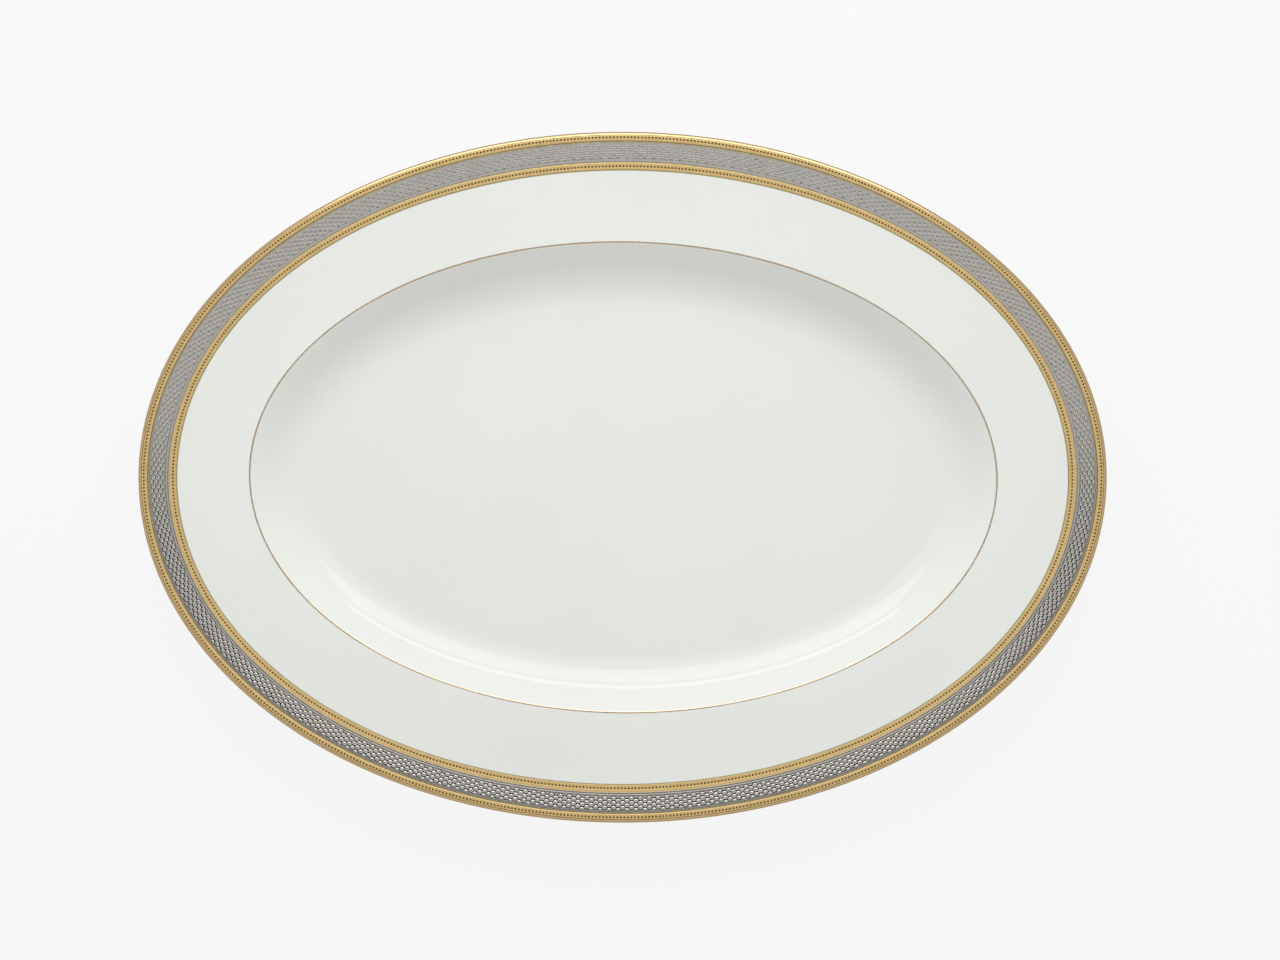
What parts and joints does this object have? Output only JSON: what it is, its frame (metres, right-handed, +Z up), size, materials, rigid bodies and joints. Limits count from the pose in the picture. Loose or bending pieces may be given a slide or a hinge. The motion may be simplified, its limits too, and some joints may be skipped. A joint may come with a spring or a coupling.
{
  "type": "serving platter",
  "caption": "Oval rimmed china serving platter with a flat well, a foot ring and a beaded silver-tone band between gold bands at its edge.",
  "frame": {"origin": "centre of the plane that the foot ring stands on", "axes": "+X along the platter's length, +Y across it, +Z up out of the well"},
  "size_m": [0.356, 0.254, 0.0237],
  "materials": {
    "porcelain": "glossy clear glaze over white porcelain",
    "gold": "burnished fired gold",
    "platinum": "burnished fired platinum"
  },
  "bodies": {
    "root": {"porcelain_body": "porcelain", "edge_gold_line": "gold", "outer_gold_band": "gold", "outer_platinum_line": "platinum", "beaded_platinum_band": "platinum", "inner_platinum_line": "platinum", "inner_gold_band": "gold", "verge_gold_line": "gold"}
  },
  "joints": []
}
